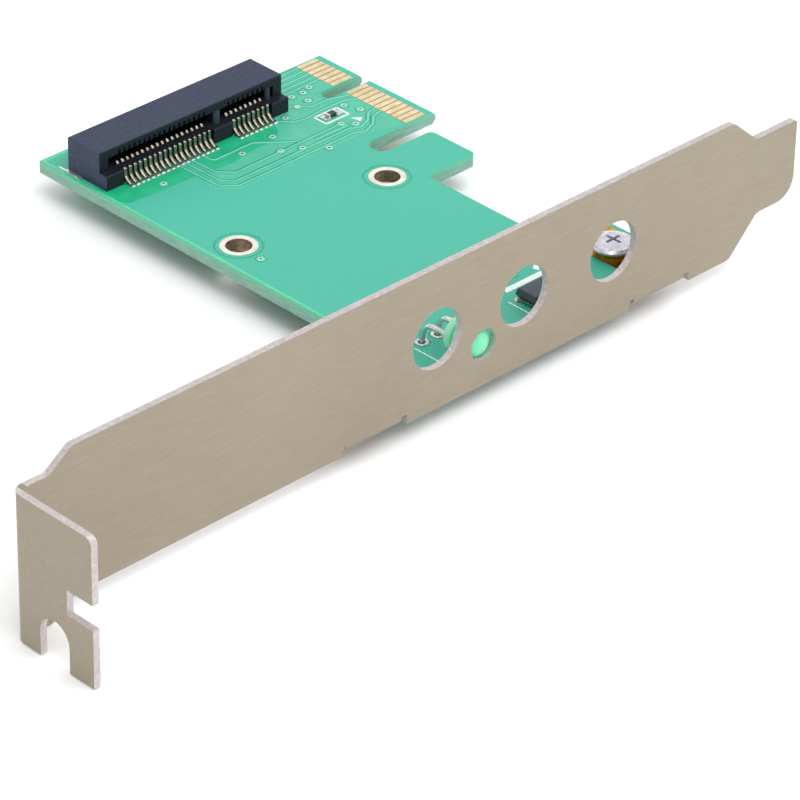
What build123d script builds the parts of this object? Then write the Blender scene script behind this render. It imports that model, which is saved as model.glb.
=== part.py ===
"""PCI Express x1 adapter card with a mini card socket, on a full-height slot bracket.

Millimetres. X runs along the bracket from its screw flange to its tongue, Y runs into the board
from the bracket's outer face, and Z is up, out of the component side. Sizes are named here once,
and every piece takes its place from the piece that carries it.
"""
import os

from build123d import *

os.makedirs("parts", exist_ok=True)

# Bracket: one strip of nickel plated steel
metal = 0.86
bracket_length = 120.02
bracket_width = 18.42
flange_depth = 12.7
flange_drop = 2.3
bend_radius = 1.6
neck_start = 4.6
neck_end = 7.8
shoulder_top_start = 108.8
shoulder_top_end = 112.9
shoulder_foot_start = 109.1
shoulder_foot_end = 113.7
tongue_low = 4.64
tongue_width = 10.19
tongue_tip_radius = 2.8
tongue_top_radius = 0.5
shoulder_radius = 1.4
flange_corner_radius = 0.9

# Screw slot and side notch in the flange
screw_slot_radius = 2.3
screw_slot_depth = 5.4
screw_slot_offset = 5.75
side_notch_depth = 4.0
side_notch_width = 3.13
side_notch_low = 7.2

# Openings in the bracket's face
antenna_hole_radius = 3.79
antenna_hole_height = 9.2
antenna_hole_places = (60.7, 74.4, 88.9)
lamp_hole_radius = 1.95
lamp_place = 68.05
lamp_height = 5.4

# Two tabs bent in from the bracket's lower edge carry the board
tab_places = (51.2, 97.2)
tab_width = 8.5
tab_length = 12.4
tab_bend_radius = 1.25
tab_relief = 0.75
tab_corner_radius = 1.5
tab_screw_offset = 7.6
tab_thread_radius = 1.5

# Board
board_thickness = 1.6
board_front_gap = 1.1
board_left = 62.1
board_right = 94.0
board_depth = 69.6
ear_margin = 4.85
ear_depth = 14.2
ear_corner_radius = 1.0
key_notch_place = 58.3
key_notch_width = 1.9
key_notch_depth = 7.6
long_tongue_reach = 12.15
short_tongue_reach = 8.15
edge_tongue_end = 106.1
edge_bevel = 0.5
back_step_start = 96.5
back_step_end = 93.2
hook_low = 35.15
hook_high = 42.95
hook_end = 102.2
hook_corner_radius = 0.8
hook_slot_floor = 93.8
card_screw_clearance_radius = 1.65

# Edge fingers
finger_pitch = 1.0
finger_width = 0.7
finger_inner_end = 101.3
finger_outer_end = 104.6
finger_skin = 0.05
finger_counts = (11, 7)
finger_key_step = 1.5

# Plated holes that fix the mini card
card_hole_spacing = 24.2
card_hole_middle = 78.2
card_hole_depth = 38.4
card_hole_radius = 1.62
card_hole_wall = 0.08
card_ring_radius = 2.3
ring_skin = 0.05

# Mini card socket
socket_middle = 77.9
socket_length = 29.6
socket_back_margin = 4.2
socket_body_depth = 5.7
socket_jaw_reach = 1.3
socket_height = 4.65
jaw_height = 2.05
slot_height = 1.5
slot_depth = 4.3
slot_length = 26.8
key_rib_width = 1.2
jaw_recess = 0.4
contact_pitch = 0.8
contact_counts = (18, 8)
contact_key_gap = 4.0
contact_width = 0.3
contact_thickness = 0.15
contact_groove_width = 0.46
contact_shelf = 1.5
foot_reach = 1.4
foot_length = 0.7
back_foot_reach = 1.2
lower_spring_reach = 2.4
upper_spring_reach = 1.9
spring_end_reach = 3.1
hold_down_width = 2.6
hold_down_thickness = 0.25
hold_down_reach = 1.1

# Lamp with bent leads
lens_radius = 1.5
lens_rim_radius = 1.9
lens_rim_length = 1.0
lens_tip = -0.15
lens_length = 5.2
lead_size = 0.5
lead_spacing = 2.54
lead_reach = 3.45
lead_bend_radius = 0.7
lead_hole_radius = 0.45
lead_tail = 1.1
solder_radius = 0.85
solder_height = 0.8

# Moulded capacitor beside the middle antenna hole
can_place = (84.7, 6.45)
can_length = 6.0
can_width = 3.6
can_height = 2.2
can_stand_off = 0.2
can_draft = 0.35
terminal_width = 2.4
terminal_thickness = 0.15
terminal_foot = 1.3

# Chip parts
chip_length = 1.6
chip_width = 0.8
chip_height = 0.5
chip_cap_length = 0.3
signal_chip_place = (95.85, 54.0)
lamp_chip_place = (74.2, 8.5)
supply_chip_places = ((91.2, 8.0), (91.2, 11.2), (79.0, 15.2))

# Supply regulator between the holes' sight lines and the board's open field
regulator_place = (85.5, 15.2)
regulator_length = 4.5
regulator_width = 2.4
regulator_height = 1.5
regulator_lead_width = 0.45
regulator_lead_thickness = 0.35
regulator_lead_reach = 0.8
regulator_lead_pitch = 1.5
regulator_tab_width = 1.7
regulator_tab_reach = 0.7

# Screws that hold the board on the tabs
screw_head_radius = 2.75
screw_head_height = 1.9
screw_head_crown = 0.45
screw_shank_radius = 1.45
screw_tail = 0.6
screw_recess_length = 3.0
screw_recess_width = 0.55
screw_recess_depth = 0.9

# Derived places
flange_low = -flange_drop
flange_high = bracket_width - flange_drop
flange_free = metal - flange_depth
board_low = metal
board_top = board_low + board_thickness
board_front = metal + board_front_gap
socket_back = board_depth - socket_back_margin
socket_mouth = socket_back - socket_body_depth
socket_front = socket_mouth - socket_jaw_reach
tongue_high = tongue_low + tongue_width
long_tongue_edge = key_notch_place - long_tongue_reach
short_tongue_edge = key_notch_place + short_tongue_reach
card_hole_places = [card_hole_middle + side * card_hole_spacing / 2 for side in (-1, 1)]
ear_left = tab_places[0] - ear_margin
ear_right = tab_places[1] + ear_margin
lamp_axis_z = lamp_height
to_frame = Pos(-bracket_length / 2, -(flange_free + board_depth) / 2, -flange_low)


def box(x0, x1, y0, y1, z0, z1):
    """A block between two corners."""
    return Pos((x0 + x1) / 2, (y0 + y1) / 2, (z0 + z1) / 2) * Box(x1 - x0, y1 - y0, z1 - z0)


def disc_y(x, z, radius, y0, y1):
    """A round bar along Y."""
    return Pos(x, (y0 + y1) / 2, z) * Rot(X=90) * Cylinder(radius, y1 - y0)


def disc_z(x, y, radius, z0, z1):
    """A round bar along Z."""
    return Pos(x, y, (z0 + z1) / 2) * Cylinder(radius, z1 - z0)


def plate_in_xz(points, y0, y1):
    """A flat outline in X and Z, given a thickness along Y."""
    plane = Plane(origin=(0, y0, 0), x_dir=(1, 0, 0), z_dir=(0, -1, 0))
    return extrude(plane * make_face(Polyline(*points, close=True)), -(y1 - y0))


def strip_in_yz(points, thickness, x0, x1):
    """A bent strip: a path of Y and Z points on its centre line, given thickness and width along X."""
    side = []
    for i, (y, z) in enumerate(points):
        directions = []
        if i > 0:
            directions.append(Vector(y - points[i - 1][0], z - points[i - 1][1]).normalized())
        if i < len(points) - 1:
            directions.append(Vector(points[i + 1][0] - y, points[i + 1][1] - z).normalized())
        mean = sum(directions[1:], directions[0]).normalized()
        half = thickness / 2 / max(0.5, mean.dot(directions[0]))
        side.append((Vector(y, z) + Vector(-mean.Y, mean.X) * half, Vector(y, z) - Vector(-mean.Y, mean.X) * half))
    outline = [(p[0].X, p[0].Y) for p in side] + [(p[1].X, p[1].Y) for p in reversed(side)]
    plane = Plane(origin=(x0, 0, 0), x_dir=(0, 1, 0), z_dir=(1, 0, 0))
    return extrude(plane * make_face(Polyline(*outline, close=True)), x1 - x0)


def quarter_bend(centre_y, centre_z, outer, inner, x0, x1, quadrant):
    """A quarter of a tube along X, used where the sheet is bent."""
    ring = Circle(outer) - Circle(inner)
    window = Pos(quadrant[0] * outer / 2, quadrant[1] * outer / 2) * Rectangle(outer, outer)
    plane = Plane(origin=(x0, centre_y, centre_z), x_dir=(0, 1, 0), z_dir=(1, 0, 0))
    return extrude(plane * (ring & window), x1 - x0)


def make_bracket():
    """The slot bracket: flange, face, tongue and the two tabs, from one strip."""
    outline = [
        (bend_radius, flange_low),
        (neck_start, flange_low),
        (neck_end, 0),
        (shoulder_foot_start, 0),
        (shoulder_foot_end, tongue_low),
        (bracket_length, tongue_low),
        (bracket_length, tongue_high),
        (shoulder_top_end, tongue_high),
        (shoulder_top_start, bracket_width),
        (neck_end, bracket_width),
        (neck_start, flange_high),
        (bend_radius, flange_high),
    ]
    face = plate_in_xz(outline, 0, metal)
    corners = face.edges().filter_by(Axis.Y)
    tip = corners.filter_by(lambda e: abs(e.center().X - bracket_length) < 0.01)
    face = fillet(tip.sort_by(Axis.Z)[0], tongue_tip_radius)
    tip = face.edges().filter_by(Axis.Y).filter_by(
        lambda e: e.center().X > bracket_length - 0.01 and e.center().Z > tongue_high - 0.01)
    face = fillet(tip, tongue_top_radius)
    shoulders = face.edges().filter_by(Axis.Y).filter_by(
        lambda e: shoulder_top_start - 0.01 < e.center().X < shoulder_foot_end + 0.01)
    face = fillet(shoulders, shoulder_radius)
    neck = face.edges().filter_by(Axis.Y).filter_by(
        lambda e: neck_start - 0.01 < e.center().X < neck_end + 0.01)
    face = fillet(neck, flange_corner_radius)
    for x in antenna_hole_places:
        face -= disc_y(x, antenna_hole_height, antenna_hole_radius, -1, metal + 1)
    face -= disc_y(lamp_place, lamp_height, lamp_hole_radius, -1, metal + 1)

    bend_plane = Plane(origin=(bend_radius, metal - bend_radius, flange_low))
    bend = extrude(
        bend_plane * ((Circle(bend_radius) - Circle(bend_radius - metal))
                      & (Pos(-bend_radius / 2, bend_radius / 2) * Rectangle(bend_radius, bend_radius))),
        bracket_width)
    flange = box(0, metal, flange_free, metal - bend_radius, flange_low, flange_high)
    slot_y = -screw_slot_offset
    slot_top = flange_low + screw_slot_depth - screw_slot_radius
    slot = box(-1, metal + 1, slot_y - screw_slot_radius, slot_y + screw_slot_radius, flange_low - 1, slot_top)
    slot += Pos(metal / 2, slot_y, slot_top) * Rot(Y=90) * Cylinder(screw_slot_radius, metal + 2)
    flange -= slot
    notch_low = flange_low + side_notch_low
    flange -= box(-1, metal + 1, flange_free - 1, flange_free + side_notch_depth,
                  notch_low, notch_low + side_notch_width)
    free_corners = flange.edges().filter_by(Axis.X).filter_by(
        lambda e: e.center().Y < flange_free + 0.01 and e.center().Z > flange_high - 0.01)
    flange = fillet(free_corners, flange_corner_radius)
    strip = face + bend + flange

    for place in tab_places:
        x0 = place - tab_width / 2
        x1 = place + tab_width / 2
        strip -= box(x0 - tab_relief, x1 + tab_relief, -1, metal + 1, -1, tab_bend_radius)
        tab = box(x0, x1, tab_bend_radius, tab_length, 0, metal)
        ends = tab.edges().filter_by(Axis.Z).filter_by(lambda e: e.center().Y > tab_length - 0.01)
        tab = fillet(ends, tab_corner_radius)
        tab -= disc_z(place, tab_screw_offset, tab_thread_radius, -1, metal + 1)
        tab += quarter_bend(tab_bend_radius, tab_bend_radius, tab_bend_radius, tab_bend_radius - metal,
                            x0, x1, (-1, -1))
        strip += tab
    return strip


def make_board():
    """The board: one routed sheet with ears on the tabs, a hooked lock and two edge tongues."""
    notch_low = key_notch_place - key_notch_width / 2
    notch_high = key_notch_place + key_notch_width / 2
    notch_floor = edge_tongue_end - key_notch_depth
    outline = [
        (ear_left, board_front),
        (ear_right, board_front),
        (ear_right, ear_depth),
        (board_right, ear_depth),
        (board_right, hook_low),
        (hook_end, hook_low),
        (hook_end, hook_high),
        (hook_slot_floor, hook_high),
        (hook_slot_floor, long_tongue_edge),
        (edge_tongue_end, long_tongue_edge),
        (edge_tongue_end, notch_low),
        (notch_floor, notch_low),
        (notch_floor, notch_high),
        (edge_tongue_end, notch_high),
        (edge_tongue_end, short_tongue_edge),
        (back_step_start, short_tongue_edge),
        (back_step_end, board_depth),
        (board_left, board_depth),
        (board_left, ear_depth),
        (ear_left, ear_depth),
    ]
    sheet = extrude(Plane(origin=(0, 0, board_low)) * make_face(Polyline(*outline, close=True)), board_thickness)

    def uprights(test):
        return sheet.edges().filter_by(Axis.Z).filter_by(lambda e: test(e.center().X, e.center().Y))

    sheet = fillet(uprights(lambda x, y: abs(x - notch_floor) < 0.01), key_notch_width * 0.45)
    slot_radius = (long_tongue_edge - hook_high) * 0.45
    sheet = fillet(uprights(lambda x, y: abs(x - hook_slot_floor) < 0.01), slot_radius)
    sheet = fillet(uprights(lambda x, y: abs(x - hook_end) < 0.01 and y < hook_high + 0.01), hook_corner_radius)
    sheet = fillet(uprights(lambda x, y: y < ear_depth + 0.01), ear_corner_radius)
    ends = sheet.edges().filter_by(Axis.Y).filter_by(lambda e: abs(e.center().X - edge_tongue_end) < 0.01)
    sheet = chamfer(ends, edge_bevel)
    for x in card_hole_places:
        sheet -= disc_z(x, card_hole_depth, card_hole_radius + card_hole_wall, board_low - 1, board_top + 1)
    for x in tab_places:
        sheet -= disc_z(x, tab_screw_offset, card_screw_clearance_radius, board_low - 1, board_top + 1)
    for x in lead_places:
        sheet -= disc_z(x, lead_drop, lead_hole_radius, board_low - 1, board_top + 1)
    return sheet


def finger_rows():
    """Y of every finger: the long group below the key notch, then the short group above it."""
    rows = [key_notch_place - finger_key_step - i * finger_pitch for i in range(finger_counts[0])]
    rows += [key_notch_place + finger_key_step + i * finger_pitch for i in range(finger_counts[1])]
    return rows


def make_fingers(z0):
    """One side's edge fingers, each a thin plated strip on the board."""
    return Compound([
        box(finger_inner_end, finger_outer_end, y - finger_width / 2, y + finger_width / 2, z0, z0 + finger_skin)
        for y in finger_rows()
    ])


def make_hole_plating(x):
    """A plated barrel with a ring on each face of the board."""
    barrel = disc_z(x, card_hole_depth, card_hole_radius + card_hole_wall, board_low, board_top)
    barrel += disc_z(x, card_hole_depth, card_ring_radius, board_top, board_top + ring_skin)
    barrel += disc_z(x, card_hole_depth, card_ring_radius, board_low - ring_skin, board_low)
    return barrel - disc_z(x, card_hole_depth, card_hole_radius, board_low - 1, board_top + 1)


def contact_columns():
    """X of every contact in one row of the socket."""
    span = (contact_counts[0] + contact_counts[1] - 2) * contact_pitch + contact_key_gap
    first = socket_middle - span / 2
    left = [first + i * contact_pitch for i in range(contact_counts[0])]
    right = [left[-1] + contact_key_gap + i * contact_pitch for i in range(contact_counts[1])]
    return left, right


def make_socket_housing():
    """The moulded body: upper jaw, lower jaw with its front blocks, slot, key rib and contact grooves."""
    left, right = contact_columns()
    x0 = socket_middle - socket_length / 2
    x1 = socket_middle + socket_length / 2
    base = board_top
    body = box(x0, x1, socket_mouth, socket_back, base, base + socket_height)
    body += box(x0, x1, socket_front, socket_mouth, base, base + jaw_height)
    slot_floor = base + jaw_height
    slot = box(socket_middle - slot_length / 2, socket_middle + slot_length / 2,
               socket_mouth - 1, socket_mouth + slot_depth, slot_floor, slot_floor + slot_height)
    rib_x = (left[-1] + right[0]) / 2
    slot -= box(rib_x - key_rib_width / 2, rib_x + key_rib_width / 2,
                socket_mouth, socket_mouth + slot_depth, slot_floor - 1, slot_floor + slot_height + 1)
    body -= slot
    for row in (left, right):
        a = row[0] - contact_pitch * 0.6
        b = row[-1] + contact_pitch * 0.6
        body -= box(a, b, socket_front - 1, socket_front + jaw_recess, base - 1, slot_floor + 1)
    for x in left + right:
        a = x - contact_groove_width / 2
        b = x + contact_groove_width / 2
        shelf = base + contact_shelf
        # lower channel, buried under the jaw's front and open to the slot further in
        body -= box(a, b, socket_front - 1, socket_mouth + slot_depth - 0.6, shelf, shelf + 0.36)
        body -= box(a, b, socket_mouth + 0.9, socket_mouth + slot_depth - 0.6, shelf, slot_floor + 0.2)
        # upper channel, open to the slot and out through the back wall
        body -= box(a, b, socket_mouth + 0.6, socket_back + 1, slot_floor + slot_height - 0.1,
                    slot_floor + slot_height + 0.42)
    return body


def make_lower_contacts():
    """Front row of spring contacts, one bent strip each, with feet on the board."""
    left, right = contact_columns()
    half = contact_thickness / 2
    base = board_top
    leg_y = socket_front + jaw_recess - half - 0.03
    run_z = base + contact_shelf + 0.18
    foot_y = socket_front - foot_reach
    path = [
        (foot_y, base + half),
        (foot_y + foot_length, base + half),
        (leg_y - 0.35, base + 0.35),
        (leg_y, base + 0.8),
        (leg_y, run_z - 0.15),
        (leg_y + 0.15, run_z),
        (socket_mouth + 1.2, run_z),
        (socket_mouth + lower_spring_reach, base + jaw_height + 0.3),
        (socket_mouth + spring_end_reach, base + jaw_height + 0.05),
    ]
    return Compound([strip_in_yz(path, contact_thickness, x - contact_width / 2, x + contact_width / 2)
                     for x in left + right])


def make_upper_contacts():
    """Back row of spring contacts, with feet behind the socket."""
    left, right = contact_columns()
    half = contact_thickness / 2
    base = board_top
    run_z = base + jaw_height + slot_height + 0.2
    leg_y = socket_back + half + 0.05
    foot_y = socket_back + back_foot_reach
    path = [
        (socket_mouth + 1.3, base + jaw_height + slot_height - 0.05),
        (socket_mouth + upper_spring_reach, base + jaw_height + slot_height - 0.25),
        (socket_mouth + spring_end_reach, run_z),
        (leg_y - 0.3, run_z),
        (leg_y, run_z - 0.3),
        (leg_y, base + 0.7),
        (leg_y + 0.35, base + half),
        (foot_y, base + half),
    ]
    return Compound([strip_in_yz(path, contact_thickness, x - contact_width / 2, x + contact_width / 2)
                     for x in left + right])


def make_hold_down(side):
    """A metal lock at one end of the socket: a plate up the end wall and a foot on the board."""
    wall = socket_middle + side * socket_length / 2
    y1 = socket_back - 0.9
    y0 = y1 - hold_down_width
    upright = sorted((wall, wall + side * hold_down_thickness))
    foot = sorted((wall, wall + side * hold_down_reach))
    lock = box(upright[0], upright[1], y0, y1, board_top, board_top + 1.1)
    return lock + box(foot[0], foot[1], y0, y1, board_top, board_top + hold_down_thickness)


def make_lens():
    """The lamp's moulded lens with its rim, lying along Y with its dome in the bracket's hole."""
    tip = lens_tip
    back = lens_tip + lens_length
    profile = make_face([
        Line((0, tip), (0, back)),
        Line((0, back), (lens_rim_radius, back)),
        Line((lens_rim_radius, back), (lens_rim_radius, back - lens_rim_length)),
        Line((lens_rim_radius, back - lens_rim_length), (lens_radius, back - lens_rim_length)),
        Line((lens_radius, back - lens_rim_length), (lens_radius, tip + lens_radius)),
        RadiusArc((lens_radius, tip + lens_radius), (0, tip), lens_radius),
    ])
    solid = revolve(profile, Axis.Y)
    return Pos(lamp_place, 0, lamp_axis_z) * solid


def make_lead(x):
    """One lamp lead: square wire out of the rim, bent down through the board."""
    start = lens_tip + lens_length
    z = lamp_axis_z
    half = lead_size / 2
    outer = lead_bend_radius + half
    bend_y = lead_drop - lead_bend_radius
    bar = box(x - half, x + half, start, bend_y, z - half, z + half)
    bar += quarter_bend(bend_y, z - lead_bend_radius, outer, outer - lead_size, x - half, x + half, (1, 1))
    return bar + box(x - half, x + half, lead_drop - half, lead_drop + half,
                     board_low - lead_tail, z - lead_bend_radius)


def make_solder(x):
    """A solder cone round one lead, under the board."""
    cone = Pos(x, lead_drop, board_low - solder_height / 2) * Cone(lead_size * 0.7, solder_radius, solder_height)
    half = lead_size / 2
    return cone - box(x - half, x + half, lead_drop - half, lead_drop + half,
                      board_low - 2 * solder_height, board_low + 1)


def make_can_body():
    """The capacitor's moulded body, drafted from its parting line to its top and foot."""
    x, y = can_place
    low = board_top + can_stand_off
    middle = low + (can_height - can_stand_off) * 0.45
    top = board_top + can_height
    wide = Rectangle(can_length, can_width)
    upper = loft([Plane(origin=(x, y, middle)) * wide,
                  Plane(origin=(x, y, top)) * Rectangle(can_length - 2 * can_draft, can_width - 2 * can_draft)])
    lower = loft([Plane(origin=(x, y, low)) * Rectangle(can_length - can_draft, can_width - can_draft),
                  Plane(origin=(x, y, middle)) * wide])
    return upper + lower


def make_can_terminal(side):
    """A strip that leaves the body at its parting line and folds under it."""
    x, y = can_place
    end = x + side * can_length / 2
    middle = board_top + can_stand_off + (can_height - can_stand_off) * 0.45
    upright = sorted((end, end + side * terminal_thickness))
    foot = sorted((end + side * terminal_thickness, end - side * terminal_foot))
    strip = box(upright[0], upright[1], y - terminal_width / 2, y + terminal_width / 2, board_top, middle)
    strip += box(foot[0], foot[1], y - terminal_width / 2, y + terminal_width / 2,
                 board_top, board_top + terminal_thickness)
    return strip


def make_chip_body(place, along_x=True):
    """The ceramic middle of a chip part, between its two end caps."""
    long_half = chip_length / 2 - chip_cap_length
    wide_half = chip_width / 2
    a, b = (long_half, wide_half) if along_x else (wide_half, long_half)
    x, y = place
    return box(x - a, x + a, y - b, y + b, board_top, board_top + chip_height)


def make_chip_caps(place, along_x=True):
    """The two metal end caps of a chip part."""
    caps = []
    x, y = place
    wide_half = chip_width / 2
    for side in (-1, 1):
        inner = side * (chip_length / 2 - chip_cap_length)
        outer = side * chip_length / 2
        lo, hi = sorted((inner, outer))
        if along_x:
            caps.append(box(x + lo, x + hi, y - wide_half, y + wide_half, board_top, board_top + chip_height))
        else:
            caps.append(box(x - wide_half, x + wide_half, y + lo, y + hi, board_top, board_top + chip_height))
    return caps


def make_regulator_body():
    """The regulator's moulded body."""
    x, y = regulator_place
    body = box(x - regulator_length / 2, x + regulator_length / 2, y - regulator_width / 2,
               y + regulator_width / 2, board_top, board_top + regulator_height)
    body = chamfer(body.edges().group_by(Axis.Z)[-1], 0.2)
    return body


def make_regulator_leads():
    """Three flat leads on the side that faces the bracket."""
    x, y = regulator_place
    leads = []
    for step in (-1, 0, 1):
        middle = x + step * regulator_lead_pitch
        leads.append(box(middle - regulator_lead_width / 2, middle + regulator_lead_width / 2,
                         y - regulator_width / 2 - regulator_lead_reach, y - regulator_width / 2,
                         board_top, board_top + regulator_lead_thickness))
    return Compound(leads)


def make_regulator_tab():
    """The heat tab on the far side."""
    x, y = regulator_place
    return box(x - regulator_tab_width / 2, x + regulator_tab_width / 2, y + regulator_width / 2,
               y + regulator_width / 2 + regulator_tab_reach, board_top, board_top + regulator_lead_thickness)


def make_screw(x):
    """A pan head screw with a cross recess, down through the board into the tab."""
    y = tab_screw_offset
    top = board_top + screw_head_height
    head = disc_z(x, y, screw_head_radius, board_top, top - screw_head_crown)
    crown = Cone(screw_head_radius, screw_head_radius - screw_head_crown, screw_head_crown)
    head += Pos(x, y, top - screw_head_crown / 2) * crown
    for length, width in ((screw_recess_length, screw_recess_width), (screw_recess_width, screw_recess_length)):
        head -= box(x - length / 2, x + length / 2, y - width / 2, y + width / 2, top - screw_recess_depth, top + 1)
    return head + disc_z(x, y, screw_shank_radius, -screw_tail, board_top)


lead_drop = lens_tip + lens_length + lead_reach
lead_places = [lamp_place + side * lead_spacing / 2 for side in (-1, 1)]
chip_places = list(supply_chip_places)

parts = {
    "slot_bracket": make_bracket(),
    "circuit_board": make_board(),
    "edge_fingers_top": make_fingers(board_top),
    "edge_fingers_bottom": make_fingers(board_low - finger_skin),
    "card_hole_platings": Compound([make_hole_plating(x) for x in card_hole_places]),
    "socket_housing": make_socket_housing(),
    "socket_contacts_lower": make_lower_contacts(),
    "socket_contacts_upper": make_upper_contacts(),
    "socket_hold_down_left": make_hold_down(-1),
    "socket_hold_down_right": make_hold_down(1),
    "lamp_lens": make_lens(),
    "lamp_lead_left": make_lead(lead_places[0]),
    "lamp_lead_right": make_lead(lead_places[1]),
    "lamp_solder_joints": Compound([make_solder(x) for x in lead_places]),
    "capacitor_body": make_can_body(),
    "capacitor_terminals": Compound([make_can_terminal(side) for side in (-1, 1)]),
    "signal_resistor_body": make_chip_body(signal_chip_place),
    "signal_resistor_caps": Compound(make_chip_caps(signal_chip_place)),
    "lamp_resistor_body": make_chip_body(lamp_chip_place, along_x=False),
    "lamp_resistor_caps": Compound(make_chip_caps(lamp_chip_place, along_x=False)),
    "supply_capacitor_bodies": Compound([make_chip_body(place) for place in chip_places]),
    "supply_capacitor_caps": Compound([cap for place in chip_places for cap in make_chip_caps(place)]),
    "regulator_body": make_regulator_body(),
    "regulator_leads": make_regulator_leads(),
    "regulator_tab": make_regulator_tab(),
    "tab_screws": Compound([make_screw(x) for x in tab_places]),
}

for name, shape in parts.items():
    export_step(to_frame * shape, f"parts/{name}.step")
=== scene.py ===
"""Looks of the adapter card: camera, light, procedural materials and the board's finer pieces."""

import math

import bmesh
import bpy
from mathutils import Matrix, Vector


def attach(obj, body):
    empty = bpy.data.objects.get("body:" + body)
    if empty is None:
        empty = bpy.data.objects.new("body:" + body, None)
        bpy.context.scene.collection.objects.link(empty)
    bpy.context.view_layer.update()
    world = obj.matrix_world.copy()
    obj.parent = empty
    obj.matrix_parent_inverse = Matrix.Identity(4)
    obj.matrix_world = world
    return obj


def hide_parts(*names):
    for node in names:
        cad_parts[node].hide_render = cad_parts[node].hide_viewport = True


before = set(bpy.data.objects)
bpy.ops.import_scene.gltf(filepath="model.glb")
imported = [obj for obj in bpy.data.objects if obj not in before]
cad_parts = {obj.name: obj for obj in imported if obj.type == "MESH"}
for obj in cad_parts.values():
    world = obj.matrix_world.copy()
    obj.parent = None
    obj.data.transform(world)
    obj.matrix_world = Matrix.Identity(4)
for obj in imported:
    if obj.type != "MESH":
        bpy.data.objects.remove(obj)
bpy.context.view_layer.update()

# The card's own millimetres (X along the bracket, Y into the board) moved into the row's frame
SHIFT = Vector((-60.01, -28.88, 2.3))
LOW = 0.86
TOP = 2.46


def metres(x, y, z):
    """A place in the card's millimetres, in metres in the row's frame."""
    return (Vector((x, y, z)) + SHIFT) / 1000


def linear(colour):
    """A hex colour as linear RGBA."""
    values = [int(colour[i:i + 2], 16) / 255 for i in (1, 3, 5)]
    return [v / 12.92 if v <= 0.04045 else ((v + 0.055) / 1.055) ** 2.4 for v in values] + [1.0]


def add(tree, kind, feeds=None, **settings):
    """One node with its settings; feeds gives its inputs a value or another node's output."""
    node = tree.nodes.new(kind)
    for key, value in settings.items():
        setattr(node, key, value)
    for key, value in (feeds or {}).items():
        if isinstance(value, bpy.types.NodeSocket):
            tree.links.new(value, node.inputs[key])
        else:
            node.inputs[key].default_value = value
    return node


def new_material(name, **values):
    """A material with its shader's sockets set; returns it with its tree, shader and place in millimetres."""
    material = bpy.data.materials.new(name)
    material.use_nodes = True
    tree = material.node_tree
    shader = tree.nodes["Principled BSDF"]
    for key, value in values.items():
        shader.inputs[key].default_value = value
    coords = add(tree, "ShaderNodeTexCoord").outputs["Object"]
    place = add(tree, "ShaderNodeVectorMath", {0: coords, 1: (1000.0, 1000.0, 1000.0)}, operation="MULTIPLY")
    return material, tree, shader, place.outputs[0]


def mottled(name, dark, pale, grain, rough, relief, **values):
    """A finish whose colour and roughness drift over grain millimetres, with relief in millimetres."""
    material, tree, shader, place = new_material(name, **values)
    drift = add(tree, "ShaderNodeTexNoise", {"Vector": place, "Scale": 1 / grain, "Detail": 4.0})
    spread = add(tree, "ShaderNodeMapRange", {0: drift.outputs["Fac"], 1: 0.32, 2: 0.68})
    tone = add(tree, "ShaderNodeMix", data_type="RGBA")
    tree.links.new(spread.outputs[0], tone.inputs[0])
    tone.inputs[6].default_value = linear(dark)
    tone.inputs[7].default_value = linear(pale)
    gloss = add(tree, "ShaderNodeMapRange", {0: spread.outputs[0], 3: rough[0], 4: rough[1]})
    pits = add(tree, "ShaderNodeTexNoise", {"Vector": place, "Scale": 2.6 / grain, "Detail": 3.0})
    bump = add(tree, "ShaderNodeBump", {"Height": pits.outputs["Fac"], "Strength": 0.5,
                                        "Distance": relief / 1000})
    tree.links.new(tone.outputs[2], shader.inputs["Base Color"])
    tree.links.new(gloss.outputs[0], shader.inputs["Roughness"])
    tree.links.new(bump.outputs[0], shader.inputs["Normal"])
    return material


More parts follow.
